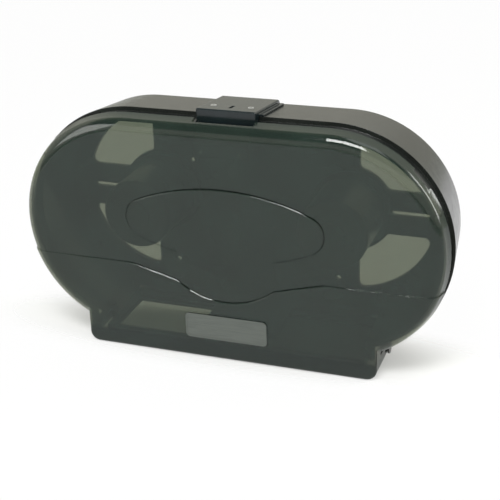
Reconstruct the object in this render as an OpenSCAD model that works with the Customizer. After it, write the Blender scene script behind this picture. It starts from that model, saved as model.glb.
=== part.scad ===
// Twin jumbo toilet roll dispenser for a wall: a drafted housing shaped like a stadium, a see-through
// cover hinged at the bottom, two rotating core hubs, a lock on top and a shutter for the paper exits.
// Every piece is drawn lying on its back: X across, Y up the wall, Z out of the wall from the wall's face.
// stand() then turns it upright: Y depth (the front faces -Y) and Z up. Millimetres.
// The origin is on the wall, midway between the centres of the two round ends.

/* [Housing] */
// Distance between the centres of the two round ends
end_spacing = 236.8; // [225:0.2:260]
// Radius of the round ends at the front edge of the side wall
housing_front_r = 137.2; // [134:0.1:142]
// Radius of the round ends at the wall
housing_rear_r = 128.2; // [126:0.1:131]
// Depth of the side wall
housing_depth = 81.5; // [76:0.5:88]
// Thickness of the back and of the side wall
housing_wall = 3; // [2.4:0.1:3.6]
// Radius of the edge between the back and the side wall
housing_edge_r = 3; // [1:0.5:5]
// Length of the lip that stands forward of the side wall
lip_length = 21.5; // [18:0.5:22]
// Step from the side wall in to the root of the lip
lip_step = 5; // [4.5:0.1:7]
// How much narrower the lip is at its front, in radius
lip_taper = 3.4; // [2.5:0.1:4.5]
// Thickness of the lip
lip_wall = 2.5; // [2:0.1:3]

/* [Openings in the back] */
// Inner radius of a window, about the roll axis
window_inner_r = 52; // [50:0.5:58]
// Outer radius of a window, about the roll axis
window_outer_r = 101; // [90:0.5:105]
// Distance from the roll axis out to the upright edge of a window
window_side = 10.6; // [6:0.1:20]
// Half the height of the arm between two windows
arm_half = 27; // [20:0.5:32]
// Radius of the windows' corners
window_corner_r = 7; // [3:0.5:9]
// Width of the raised rim round each window
window_rim_w = 2.2; // [1.5:0.1:3]
// Height of the ribs on the back
rib_h = 3; // [1.5:0.5:5]
// Length of the fixing slot in each arm
slot_length = 44; // [20:1:50]
// Width of the fixing slot
slot_w = 5.5; // [4:0.1:7]
// Distance from the roll axis to the middle of the slot
slot_offset = 71.6; // [65:0.2:74]
// Radius of a wall screw hole
screw_hole_r = 3; // [2:0.1:3.5]
// Distance between the upper wall screw holes
upper_hole_spacing = 158; // [150:1:170]
// Height of the upper wall screw holes above the origin
upper_hole_y = 51; // [40:1:60]
// Height of the middle wall screw holes, which share the upper ones' spacing
middle_hole_y = 11; // [0:1:20]
// Distance between the lower wall screw holes
lower_hole_spacing = 208; // [190:1:220]
// Height of the lower wall screw holes
lower_hole_y = -83; // [-90:1:-75]

/* [Cover] */
// Gap in depth between the side wall and the rim of the cover
rim_gap = 14.7; // [12:0.1:16]
// How far the rim lies inside the side wall's front edge, in radius
rim_inset = 1.8; // [0:0.1:2]
// Length of the rim, back to front
rim_length = 9.4; // [8:0.1:12]
// How much the rim narrows to its front, in radius
rim_taper = 2.7; // [1:0.1:3]
// Width of the rounded shoulder, seen from the front
shoulder_w = 16.7; // [12:0.1:20]
// Depth of the rounded shoulder
shoulder_depth = 11.4; // [9:0.1:13]
// Thickness of the cover
cover_wall = 3; // [2.4:0.1:3.2]
// Step by which the lower panel stands proud of the face
panel_step = 1.4; // [0.8:0.1:2]
// Height of the level stretches of the panel's edge
wave_level_y = -40.5; // [-46:0.5:-36]
// Where the level stretches end, from the middle
wave_level_x = 117; // [100:1:130]
// Where the arc of the panel's edge starts, from the middle
wave_arc_x = 59; // [50:1:65]
// Height at which the arc starts
wave_arc_y = -56; // [-60:0.5:-52]
// Height of the lowest point of the arc
wave_low_y = -77.5; // [-82:0.5:-72]
// Half the width of the raised oval
oval_half_w = 118; // [100:1:125]
// Half the height of the raised oval
oval_half_h = 43.5; // [35:0.5:50]
// Radius of the oval's ends
oval_end_r = 24; // [18:1:30]
// Height of the oval's middle
oval_y = 17; // [10:0.5:22]
// Height of the step at the top of the oval
oval_step = 1.8; // [1:0.1:2.5]
// Height of the oval's crowned surface lost from its top to its foot
oval_fall = 2.1; // [1.9:0.1:2.6]
// Width of the notch over the lock
lock_notch_w = 71; // [70.5:0.5:76]
// Angle of the finger notches above the level, on both ends
finger_notch_angle = 41; // [30:1:50]
// Width of a finger notch
finger_notch_w = 26; // [18:1:32]
// Length of the notch over the lock, from the rim's edge
lock_notch_length = 8.4; // [6:0.1:9]
// Length of a finger notch, from the rim's edge
finger_notch_length = 5; // [3:0.1:7]

/* [Throat of the cover] */
// Width of the throat
throat_w = 357; // [350:1:360]
// How far the throat reaches below the front edge of the side wall
throat_drop = 15.3; // [13:0.1:18]
// Radius of the throat's lower corners
throat_corner_r = 12; // [8:0.5:14]
// Radius of the throat's front edge
throat_edge_r = 4; // [3.2:0.1:5]

/* [Hinge] */
// Depth of the hinge axis from the wall
hinge_depth = 57; // [52:0.5:62]
// How far the hinge axis lies below the front edge of the side wall
hinge_drop = 2.8; // [2:0.1:4]
// Radius of the cheek round the hinge pin
cheek_r = 12.5; // [11:0.1:12.6]
// Radius of the hinge pin
pin_r = 4; // [3:0.1:5]
// Radius of the pin's head
pin_head_r = 7; // [6:0.1:9]
// Thickness of the pin's head
pin_head_t = 2; // [1.5:0.1:3]
// Thickness of the housing's hinge ears
ear_t = 4; // [3:0.1:4.5]
// Radius of the end of an ear
ear_r = 10; // [8:0.1:11]

/* [Paper exits] */
// Distance between the centres of the two exits
exit_spacing = 204; // [200:1:208]
// Width of each exit
exit_w = 108; // [100:1:110]
// Depth at which the exits start
exit_rear = 14; // [14:0.5:20]
// Thickness of the exit frame's plate
frame_plate = 3; // [2.5:0.1:4]
// Thickness of the exit frame's walls
frame_wall = 3; // [2:0.1:4]
// Thickness of the shutter
shutter_t = 2.5; // [2:0.1:3]
// Length of the shutter's finger tab
tab_length = 30; // [20:1:40]
// Thickness of the shutter's finger tab
tab_t = 4; // [3:0.1:5]
// Height of the tear bars
tear_bar_h = 9; // [7:0.5:10]
// Thickness of the tear bars
tear_bar_t = 1; // [0.8:0.1:1.5]
// Spacing of the tear bars' teeth
tooth_pitch = 3; // [2.5:0.1:5]
// Height of the teeth
tooth_h = 2; // [1:0.1:2.5]

/* [Roll carriers] */
// Height of the roll axes above the origin
roll_y = 8; // [4:0.5:10]
// Radius of a core hub, for rolls with an 86 mm core
hub_r = 41.5; // [36:0.1:42.5]
// Wall of a core hub
hub_wall = 2.4; // [2:0.1:3]
// Radius of a core hub's rear flange
hub_flange_r = 48; // [45:0.5:49]
// Depth at which a core hub ends
hub_end = 92; // [86:0.5:94]
// Radius of the hub's front edge
hub_edge_r = 6; // [3:0.5:8]
// Radius of the spindle post
post_r = 9; // [7:0.1:11]
// Radius of the post's foot on the back
post_foot_r = 30; // [24:0.5:34]
// Thickness of the post's foot
post_foot_t = 3; // [2.5:0.1:4]
// Radius of the hub cap
hub_cap_r = 17; // [14:0.5:20]

/* [Lock] */
// Width of the lock housing
lock_w = 70; // [66:0.5:70]
// Depth at which the lock housing starts
lock_rear = 10; // [6:0.5:20]
// Depth at which the lock housing ends
lock_front = 94; // [92:0.5:95]
// Height of the lock housing above the side wall
lock_h = 6.7; // [6:0.1:9]
// Width of the step along the foot of the lock housing
lock_foot_w = 5; // [3:0.5:8]
// Height of the step along the foot
lock_foot_h = 2.4; // [1.5:0.1:3]
// Height of the lock housing's front face
lock_nose_h = 16; // [14.5:0.1:17]
// Thickness of the lock housing
lock_wall = 2; // [1.6:0.1:2.4]
// Width of the latch bolt
bolt_w = 20; // [14:0.5:24]
// Thickness of the latch bolt
bolt_t = 3; // [2.5:0.1:3.5]
// Travel of the latch bolt
bolt_travel = 4.5; // [4:0.1:5]
// Length of the key slot
key_slot_length = 14; // [10:0.5:16]
// Width of the key slot
key_slot_w = 3.4; // [2.5:0.1:5]
// Width of the catch on the cover
catch_w = 64; // [50:1:66]
// Thickness of the catch
catch_t = 2.4; // [2:0.1:2.6]
// Distance between the catch's screws
catch_screw_spacing = 44; // [36:1:48]

/* [Label plate] */
// Width of the label plate
label_w = 100; // [60:1:120]
// Height of the label plate
label_h = 31; // [20:0.5:32]
// Thickness of the label plate
label_t = 1.2; // [0.8:0.1:2]
// Radius of the label plate's corners
label_corner_r = 5; // [2:0.5:8]
// Height of the label plate's middle above the foot of the throat
label_rise = 41.2; // [37.5:0.1:44.5]

/* [Clearances and fasteners] */
// Gap between pieces that move past each other
move_gap = 0.3; // [0.25:0.05:0.4]
// Radial clearance of a shaft in its bore
run_gap = 0.06; // [0.03:0.01:0.1]
// Radial clearance of a screw or pin in the piece that holds it
hold_gap = 0.02; // [0.01:0.01:0.04]
// Gap between fixed pieces that seat on each other
seat_gap = 0.05; // [0.02:0.01:0.1]
// Radius of a small screw's shank
small_screw_r = 1.6; // [1.4:0.1:2]
// Radius of a small screw's head
small_head_r = 3.4; // [3:0.1:4]
// Thickness of a small screw's head
small_head_t = 2; // [1.5:0.1:2.4]

/* [Hidden] */
$fn = 96;
cut = 1;          // how far a cutter runs past the face that it cuts
far = 400;        // longer than the whole dispenser's half
arc_steps = 12;   // straight pieces in a quarter round of a swept section
corner_steps = 4; // tangents that round a corner of a window

end_x = end_spacing / 2;
slope = (housing_front_r - housing_rear_r) / housing_depth;
lip_end = housing_depth + lip_length;
lip_root_r = housing_front_r - lip_step;
lip_end_r = lip_root_r - lip_taper;
lip_shelf = housing_wall;

rim_start = housing_depth + rim_gap;
rim_r = housing_front_r - rim_inset;
shoulder_start = rim_start + rim_length;
shoulder_r = rim_r - rim_taper;
face_depth = shoulder_start + shoulder_depth;
panel_depth = face_depth + panel_step;
wave_r = (wave_arc_x * wave_arc_x + pow(wave_arc_y - wave_low_y, 2)) / (2 * (wave_arc_y - wave_low_y));

inner_lead = 20;    // how far behind the rim the cuts inside the cover start
inner_start = rim_start - inner_lead / 2;

throat_half = throat_w / 2;
throat_y = -(housing_front_r + throat_drop);
label_y = throat_y + label_rise;
throat_top_y = -sqrt(pow(shoulder_r - shoulder_w - 2, 2) - pow(throat_half - end_x, 2));
hinge_y = -(housing_front_r + hinge_drop);
cheek_in = throat_half - cover_wall;
cheek_top_y = hinge_y + cheek_r - 2;
ear_out = cheek_in - 1;
ear_in = ear_out - ear_t;
ear_top_y = -sqrt(pow(housing_r(hinge_depth) - housing_wall / 2, 2) - pow(ear_out - end_x, 2)) - 0.5;
floor_cut_in = 30;  // how far inside the floor its cuts start
floor_cut_y = -(housing_rear_r - floor_cut_in);

ledge_t = 2;
ledge_w = 2.5;
ledge_y = -(max(housing_front_r, housing_rear_r) + 0.7) - ledge_t;
shutter_y = ledge_y - move_gap - shutter_t;
plate_y = shutter_y - move_gap - frame_plate;
frame_half = exit_spacing / 2 + exit_w / 2 + 2 + frame_wall;
frame_rear = exit_rear - frame_wall - ledge_w;
frame_front = lip_end + 1;
frame_wall_h = 12;  // above the rear ledge's foot
frame_top_y = ledge_y + frame_wall_h;
exit_front = frame_front - frame_wall - ledge_w;
rail_top_y = -housing_front_r + frame_wall;
lug_rise = 12;      // above the frame's walls
lug_top_y = frame_top_y + lug_rise;
lug_rear_gap = 8;   // from the exits' rear edge
lug_front_gap = 10; // from the hinge ear
shutter_w = exit_w + 3;
tab_slot_w = tab_t + 2;
lug_r = small_screw_r + 1.6;
lug_x = frame_half + lug_r + 0.1;
tower_h = 10;
tear_bar_top_y = ledge_y + ledge_t;

hub_start = housing_wall + post_foot_t + small_head_t + 0.5;
post_end = hub_end - hub_wall - 2;
hub_bore_r = post_r + run_gap;
sleeve_r = post_r + 3;
spindle_screw_r = 2.5;
spindle_bore_length = 30;
spindle_bore_start = post_end - spindle_bore_length;
spindle_head_r = sleeve_r;
spindle_head_t = 2;
cup_r = spindle_head_r + 1.5;
cup_floor = post_end - move_gap;
cap_skirt = hub_end - post_end - spindle_head_t - 2 * seat_gap - 0.5;
post_screw_ring = (post_r + post_foot_r) / 2 + 2;
post_screw_tip = 0.6;
rib_x = 22;

lock_nose_y = housing_r(lock_front) + lock_h - lock_nose_h;
lock_bevel = 1.2;
lock_bevel_rear = 3;
lock_inner_w = lock_w - 2 * lock_wall;
lock_screw_x = 22;
lock_screw_depth = 72;
lock_bore_run = 10; // below the housing's top
lock_head_y = housing_r(lock_screw_depth) + lock_h - 1.6;
key_slot_depth = 74;
bolt_arm_t = 2;
bolt_clear = 0.4;   // below the lock housing's roof
leaf_length = lock_nose_h - 2 * lock_wall - bolt_arm_t - 3;
bolt_front = lock_front - lock_wall - 1.5;
bolt_rear = key_slot_depth - key_slot_length / 2 - 2;
guide_y = min(bolt_top_y(bolt_rear), bolt_top_y(bolt_front)) - bolt_arm_t - bolt_travel - move_gap;
latch_window_w = bolt_w + 8;
latch_window_rear = bolt_rear - 3;
catch_top_y = lock_nose_y - 0.5;
catch_rear = bolt_front - bolt_t - 3;
catch_front = shoulder_start - 3;
catch_drop = 33;       // height of the whole catch
catch_flange_h = 15;   // height of its foot on the cover
catch_flange_y = catch_top_y - catch_drop;
catch_screw_y = catch_flange_y + 7;

// Radius of the housing's side wall at a depth, in line with its draft also past the front edge
function housing_r(depth) = housing_rear_r + slope * depth;

// Top of the latch bolt's arm at a depth, under the lock housing's roof
function bolt_top_y(depth) = housing_r(depth) + lock_h - lock_wall - bolt_clear;

// Height of the middle of the floor's wall over a lug, where the screw's tower starts
function tower_low_y(depth) = -sqrt(pow(housing_r(depth) - housing_wall / 2, 2) - pow(lug_x - end_x, 2));

// Points of an elliptical arc about (x, y), with the two half axes and the angles given
function arc(x, y, a, b, from, to, steps = arc_steps) =
    [for (i = [0:steps]) let (t = from + (to - from) * i / steps) [x + a * cos(t), y + b * sin(t)]];

// Section of the whole housing wall, from the middle of the back round to the end of the lip
function housing_section() = concat(
    [[0, 0]],
    arc(housing_r(housing_edge_r) - housing_edge_r, housing_edge_r, housing_edge_r, housing_edge_r, -90, 0, 4),
    [
        [housing_front_r, housing_depth],
        [lip_root_r, housing_depth],
        [lip_end_r, lip_end],
        [lip_end_r - lip_wall, lip_end],
        [lip_root_r - lip_wall, housing_depth - lip_shelf],
        [housing_r(housing_depth - lip_shelf) - housing_wall, housing_depth - lip_shelf],
        [housing_r(housing_wall) - housing_wall, housing_wall],
        [0, housing_wall]
    ]
);

// The outside of the housing as a filled section, grown by a clearance
function housing_filled_section(grow) = [
    [0, -cut],
    [housing_r(-cut) + grow, -cut],
    [housing_front_r + grow, housing_depth + grow],
    [lip_root_r + grow, housing_depth + grow],
    [lip_end_r + grow, lip_end + grow],
    [0, lip_end + grow]
];

// The outside of the cover's rim, shoulder and face as a filled section, moved in by a wall's thickness
function cover_section(inset, start) = concat(
    [[0, start], [rim_r - inset + (rim_start - start) * rim_taper / rim_length, start]],
    arc(shoulder_r - shoulder_w, shoulder_start, shoulder_w - inset, shoulder_depth - inset, 0, 90),
    [[0, face_depth - inset]]
);

// Turns a piece that is drawn lying on its back upright against the wall
module stand() {
    rotate([90, 0, 0]) children();
}

// Sweeps a section, [distance out, depth], round the stadium outline: two half turns and two straights
module stadium_sweep(section) {
    for (side = [-1, 1])
        translate([side * end_x, 0, 0])
            rotate([0, 0, side * -90])
                rotate_extrude(angle = 180) polygon(section);
    for (side = [0, 1])
        mirror([0, side, 0])
            rotate([90, 0, 90])
                linear_extrude(end_spacing, center = true) polygon(section);
}

// A bar along X whose outline is drawn in [depth, height]
module side_profile(width) {
    rotate([90, 0, 90])
        linear_extrude(width, center = true)
            mirror([1, -1, 0]) children();
}

// A round bar along X, centred on a depth and a height
module cross_bar(r, x0, x1, y, depth) {
    translate([x0, y, depth])
        rotate([0, 90, 0]) cylinder(r = r, h = x1 - x0);
}

// The bore of a hinge pin, through a cheek and an ear
module hinge_bore(side, r) {
    cross_bar(r, side * cheek_in - ear_t - 2 * cut - 2, side * cheek_in + cover_wall + 2 * cut + 2,
              hinge_y, hinge_depth);
}

// A block between two corners
module block(low, high) {
    translate(low) cube(high - low);
}

// A round bar along the depth, standing on a height above the wall
module boss(x, y, r, from, to) {
    translate([x, y, from]) cylinder(r = r, h = to - from);
}

// A rectangle with round corners, centred, of exact arcs
module round_rect(w, h, r) {
    square([w - 2 * r, h], center = true);
    square([w, h - 2 * r], center = true);
    for (x = [-1, 1], y = [-1, 1])
        translate([x * (w / 2 - r), y * (h / 2 - r)]) circle(r);
}

// One window: a quarter of a ring beside the roll axis, with its corners rounded
module window_outline(grow = 0) {
    r = window_corner_r + grow;
    outer = window_outer_r + grow;
    inner = window_inner_r - grow;
    side = window_side - grow;
    arm = arm_half - grow;
    difference() {
        intersection() {
            difference() {
                circle(outer);
                circle(inner);
            }
            translate([side, arm]) square(outer);
        }
        for (reach = [outer - r, inner + r]) {
            window_corner([side + r, sqrt(reach * reach - pow(side + r, 2))], [-1, 0],
                          reach < outer - r ? -1 : 1, r);
            window_corner([sqrt(reach * reach - pow(arm + r, 2)), arm + r], [0, -1],
                          reach < outer - r ? -1 : 1, r);
        }
    }
}

// What one corner loses: all that lies outside a few straight tangents of the circle about its centre
module window_corner(centre, to_edge, to_arc, r) {
    outward = to_arc * centre / norm(centre);
    turn = acos(to_edge * outward);
    reach = r / cos(turn / (2 * corner_steps));
    tip = (to_edge + outward) / (1 + to_edge * outward);
    polygon(concat(
        [centre + 1.5 * r * to_edge],
        [for (i = [0:corner_steps])
            let (part = i / corner_steps)
            centre + reach * (sin((1 - part) * turn) * to_edge + sin(part * turn) * outward) / sin(turn)],
        [centre + 1.5 * r * outward, centre + 1.5 * r * tip]
    ));
}

// Places a drawing at each of the four windows
module each_window() {
    for (x = [0, 1], y = [0, 1])
        mirror([x, 0, 0])
            translate([end_x, roll_y, 0])
                mirror([0, y, 0]) children();
}

// The places of the wall screw holes
function wall_holes() = [for (side = [-1, 1])
    each [
        [side * upper_hole_spacing / 2, upper_hole_y],
        [side * upper_hole_spacing / 2, middle_hole_y],
        [side * lower_hole_spacing / 2, lower_hole_y]
    ]
];

// A slot with round ends, centred
module slot_outline(length, w) {
    square([length - w, w], center = true);
    for (x = [-1, 1]) translate([x * (length - w) / 2, 0]) circle(w / 2);
}

// The fixing slots, one in the arm of each round end
module slots(grow) {
    for (side = [-1, 1])
        translate([side * (end_x + slot_offset), roll_y])
            slot_outline(slot_length + 2 * grow, slot_w + 2 * grow);
}

// A screw whose shank points along -Z, with its head's underside at the origin
module screw(shank_r, shank_l, head_r, head_t) {
    translate([0, 0, -shank_l]) cylinder(r = shank_r, h = shank_l + head_t / 2);
    difference() {
        cylinder(r = head_r, h = head_t);
        // Cross recess
        for (turn = [0, 90])
            rotate([0, 0, turn])
                translate([-head_r * 0.6, -head_r * 0.12, head_t * 0.4])
                    cube([head_r * 1.2, head_r * 0.24, head_t]);
    }
}

// Housing: drafted side wall, back with windows, lip, hinge ears and open exits
module rear_housing() {
    color([0.09, 0.1, 0.1]) stand()
        difference() {
            union() {
                stadium_sweep(housing_section());
                back_ribs();
                for (at = wall_holes()) boss(at[0], at[1], screw_hole_r + 3, 0, housing_wall + rib_h);
                for (side = [-1, 1]) {
                    hinge_ear(side);
                    for (depth = lug_depths()) screw_tower(side, depth);
                }
            }
            translate([0, 0, -cut]) linear_extrude(housing_wall + 2 * cut) {
                each_window() window_outline();
                slots(0);
            }
            for (at = wall_holes()) boss(at[0], at[1], screw_hole_r, -cut, far);
            for (side = [-1, 1])
                each_post_screw(side, post_screw_tip - 0.2) cylinder(r = small_screw_r + hold_gap, h = far);
            // The exits, and the lip taken away over the throat
            for (x = [-1, 1])
                block([x * exit_spacing / 2 - exit_w / 2, -far, exit_rear],
                      [x * exit_spacing / 2 + exit_w / 2, floor_cut_y, far]);
            block([-frame_half, -far, housing_depth], [frame_half, floor_cut_y, far]);
            // The gap in the lip for the lock's nose, and the window for the latch bolt
            block([-lock_w / 2 - seat_gap, -floor_cut_y, housing_depth], [lock_w / 2 + seat_gap, far, far]);
            block([-latch_window_w / 2, -floor_cut_y, latch_window_rear], [latch_window_w / 2, far, far]);
            for (side = [-1, 1]) {
                lock_screw_bore(side, small_screw_r + hold_gap);
                hinge_bore(side, pin_r + hold_gap);
                for (depth = lug_depths())
                    upright(side * lug_x, depth, small_screw_r + hold_gap, plate_y - cut,
                            tower_low_y(depth) + tower_h - 3);
            }
        }
}

// Rims round the windows and slots, rings round the posts' feet, and ribs between the rolls
module back_ribs() {
    translate([0, 0, housing_wall / 2]) linear_extrude(rib_h + housing_wall / 2) {
        difference() {
            each_window() window_outline(window_rim_w);
            each_window() window_outline();
        }
        difference() {
            slots(window_rim_w);
            slots(0);
        }
        for (side = [-1, 1])
            translate([side * end_x, roll_y])
                difference() {
                    circle(post_foot_r + window_rim_w + seat_gap);
                    circle(post_foot_r + seat_gap);
                }
        for (x = [-1, 1])
            translate([x * rib_x - window_rim_w / 2, -housing_rear_r + housing_wall])
                square([window_rim_w, 2 * (housing_rear_r - housing_wall)]);
    }
}

// One ear under the housing that carries a hinge pin
module hinge_ear(side) {
    translate([side * (ear_in + ear_t / 2), 0, 0])
        side_profile(ear_t) {
            translate([hinge_depth, hinge_y]) circle(ear_r);
            polygon([
                [hinge_depth - ear_r, hinge_y],
                [hinge_depth + ear_r, hinge_y],
                [hinge_depth + ear_r + 4, ear_top_y],
                [hinge_depth - ear_r - 4, ear_top_y]
            ]);
        }
}

// A round bar that stands up the wall
module upright(x, depth, r, low, high) {
    translate([x, low, depth]) rotate([-90, 0, 0]) cylinder(r = r, h = high - low);
}

// Depths of the exit frame's lugs, behind and in front of the hinge ear
function lug_depths() = [exit_rear + lug_rear_gap, hinge_depth + ear_r + lug_front_gap];

// A tower inside the floor that takes the screw of one lug
module screw_tower(side, depth) {
    upright(side * lug_x, depth, small_screw_r + 2, tower_low_y(depth), tower_low_y(depth) + tower_h);
}

// The bore of a lock screw, straight down from the top of the lock housing
module lock_screw_bore(side, r) {
    upright(side * lock_screw_x, lock_screw_depth, r, housing_rear_r - lock_bore_run, far);
}

// Exit frame: two exits side by side, open at the front, and a channel that the shutter slides in
module exit_frame() {
    color([0.13, 0.14, 0.14]) stand()
        difference() {
            union() {
                block([-frame_half, plate_y, frame_rear], [frame_half, plate_y + frame_plate, exit_front]);
                // Rear and end walls and the lugs, cut to the housing's underside
                difference() {
                    union() {
                        block([-frame_half, plate_y, frame_rear], [frame_half, frame_top_y, frame_front]);
                        for (side = [-1, 1], depth = lug_depths()) frame_lug(side, depth);
                    }
                    block([-frame_half + frame_wall, plate_y - cut, frame_rear + frame_wall],
                          [frame_half - frame_wall, far, frame_front + cut]);
                    stadium_sweep(housing_filled_section(seat_gap));
                    // The end walls drop in front, below the line of sight into the exits
                    block([-far, rail_top_y, housing_depth], [far, far, far]);
                }
                // Rear ledge over the shutter
                block([-frame_half + frame_wall / 2, ledge_y, frame_rear + frame_wall - 0.5],
                      [frame_half - frame_wall / 2, ledge_y + ledge_t, frame_rear + frame_wall + ledge_w]);
            }
            for (x = [-1, 1])
                block([x * exit_spacing / 2 - exit_w / 2, plate_y - cut, exit_rear],
                      [x * exit_spacing / 2 + exit_w / 2, plate_y + frame_plate + cut, exit_front + cut]);
            // Slot for the shutter's tab, in front of which the rail's tongue lies
            block([-exit_spacing / 2, plate_y - cut, hinge_depth - tab_slot_w / 2],
                  [exit_spacing / 2, plate_y + frame_plate + cut, exit_front + cut]);
            for (side = [-1, 1], depth = lug_depths())
                upright(side * lug_x, depth, small_screw_r + hold_gap, -far, 0);
        }
}

// One lug outside an end wall, which a screw hangs from the housing
module frame_lug(side, depth) {
    upright(side * lug_x, depth, lug_r, plate_y, lug_top_y);
    low_x = min(side * (frame_half - frame_wall), side * lug_x);
    translate([low_x, plate_y, depth - lug_r])
        cube([lug_x - frame_half + frame_wall, lug_top_y - plate_y, 2 * lug_r]);
}

// Rail along the front of both exits, with a ledge over the shutter and a tongue between the exits
module exit_rail() {
    half = frame_half - frame_wall - seat_gap;
    wall_rear = frame_front - frame_wall;
    tongue = (exit_spacing - exit_w) / 2;
    color([0.13, 0.14, 0.14]) stand() {
        block([-half, plate_y, exit_front + seat_gap], [half, plate_y + frame_plate, frame_front]);
        block([-half, plate_y, wall_rear], [half, rail_top_y, frame_front]);
        block([-half, ledge_y, exit_front + seat_gap], [half, ledge_y + ledge_t, frame_front]);
        block([-tongue, plate_y, hinge_depth + tab_slot_w / 2], [tongue, plate_y + frame_plate, frame_front]);
    }
}

// Screws up through the frame's lugs
module frame_screws() {
    color([0.7, 0.71, 0.72]) stand()
        for (side = [-1, 1], depth = lug_depths())
            translate([side * lug_x, plate_y, depth])
                rotate([90, 0, 0])
                    screw(small_screw_r, tower_low_y(depth) + tower_h - 4 - plate_y,
                          small_head_r, small_head_t);
}

// A steel strip along the front of one exit, with teeth along its lower edge
module tear_bar(side) {
    teeth = floor(exit_w / tooth_pitch);
    low_y = tear_bar_top_y - tear_bar_h;
    color([0.72, 0.73, 0.73]) stand()
        translate([side * exit_spacing / 2, 0, frame_front + seat_gap])
            linear_extrude(tear_bar_t) {
                translate([-exit_w / 2, low_y]) square([exit_w, tear_bar_h]);
                for (i = [0:teeth - 1])
                    translate([(i - teeth / 2) * tooth_pitch, low_y])
                        polygon([[0, 0.1], [tooth_pitch / 2, -tooth_h], [tooth_pitch, 0.1]]);
            }
}

module tear_bar_left() {
    tear_bar(-1);
}

module tear_bar_right() {
    tear_bar(1);
}

// Shutter: closes one exit, and slides across to the other
module selector_shutter() {
    tab_x = exit_spacing / 2;
    color([0.2, 0.21, 0.21]) stand() {
        block([exit_spacing / 2 - shutter_w / 2, shutter_y, frame_rear + frame_wall + move_gap],
              [exit_spacing / 2 + shutter_w / 2, shutter_y + shutter_t, frame_front - frame_wall - move_gap]);
        block([tab_x - tab_length / 2, throat_y + 2, hinge_depth - tab_t / 2],
              [tab_x + tab_length / 2, shutter_y + 0.1, hinge_depth + tab_t / 2]);
        for (x = [-1, 0, 1])
            translate([tab_x + x * tab_length / 4, 0, 0])
                block([-0.8, throat_y + 2, hinge_depth - tab_t / 2 - 0.6],
                      [0.8, plate_y - 1, hinge_depth + tab_t / 2 + 0.6]);
    }
}

// Spindle post: a foot screwed to the back and a round post with a bore for the spindle screw
module spindle_post(side) {
    color([0.12, 0.13, 0.13]) stand()
        difference() {
            translate([side * end_x, roll_y, housing_wall + seat_gap]) {
                cylinder(r = post_foot_r, h = post_foot_t);
                cylinder(r = post_r, h = post_end - housing_wall - seat_gap);
            }
            boss(side * end_x, roll_y, spindle_screw_r + hold_gap, spindle_bore_start, far);
            each_post_screw(side, 0) cylinder(r = small_screw_r + hold_gap, h = far);
        }
}

// Places a drawing at each of the screws round one post, at a depth
module each_post_screw(side, depth) {
    translate([side * end_x, roll_y, depth])
        for (i = [0:2])
            rotate([0, 0, 90 + 120 * i])
                translate([post_screw_ring, 0, 0]) children();
}

module spindle_post_left() {
    spindle_post(-1);
}

module spindle_post_right() {
    spindle_post(1);
}

// Screws through the posts' feet into the back
module post_screws() {
    color([0.7, 0.71, 0.72]) stand()
        for (side = [-1, 1])
            each_post_screw(side, housing_wall + post_foot_t + 2 * seat_gap)
                screw(small_screw_r, housing_wall + post_foot_t - post_screw_tip, small_head_r, small_head_t);
}

// Core hub: rear flange, tube, front wall with a cup for the screw, sleeve on the post, six ribs
module core_hub(side) {
    color([0.1, 0.11, 0.11]) stand()
        translate([side * end_x, roll_y, 0]) {
            rotate_extrude() polygon(concat(
                [
                    [hub_r - hub_wall, hub_start],
                    [hub_flange_r, hub_start],
                    [hub_flange_r, hub_start + hub_wall],
                    [hub_r, hub_start + hub_wall]
                ],
                arc(hub_r - hub_edge_r, hub_end - hub_edge_r, hub_edge_r, hub_edge_r, 0, 90, 6),
                [
                    [cup_r, hub_end],
                    [cup_r, cup_floor],
                    [hub_bore_r, cup_floor],
                    [hub_bore_r, hub_start],
                    [sleeve_r, hub_start],
                    [sleeve_r, cup_floor - hub_wall],
                    [cup_r + hub_wall, cup_floor - hub_wall],
                    [cup_r + hub_wall, hub_end - hub_wall]
                ],
                arc(hub_r - hub_edge_r, hub_end - hub_edge_r, hub_edge_r - hub_wall,
                    hub_edge_r - hub_wall, 90, 0, 6)
            ));
            for (i = [0:5])
                rotate([0, 0, 60 * i])
                    block([sleeve_r - 1, -hub_wall / 2, hub_start + 2],
                          [hub_r - 1, hub_wall / 2, cup_floor - 1]);
        }
}

module core_hub_left() {
    core_hub(-1);
}

module core_hub_right() {
    core_hub(1);
}

// Cap that plugs the cup in the front of a hub
module hub_cap(side) {
    color([0.16, 0.17, 0.17]) stand()
        translate([side * end_x, roll_y, hub_end + seat_gap])
            rotate_extrude() polygon([
                [0, 0],
                [cup_r - 1.6, 0],
                [cup_r - 1.6, -cap_skirt],
                [cup_r - seat_gap, -cap_skirt],
                [cup_r - seat_gap, 0],
                [hub_cap_r, 0],
                [hub_cap_r, 0.8],
                [hub_cap_r - 1, 1.6],
                [0, 2]
            ]);
}

module hub_cap_left() {
    hub_cap(-1);
}

module hub_cap_right() {
    hub_cap(1);
}

// Screws in the posts' ends, whose broad heads keep the hubs on
module spindle_screws() {
    color([0.7, 0.71, 0.72]) stand()
        for (side = [-1, 1])
            translate([side * end_x, roll_y, post_end + seat_gap])
                screw(spindle_screw_r, post_end - spindle_bore_start - 2, spindle_head_r, spindle_head_t);
}

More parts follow.
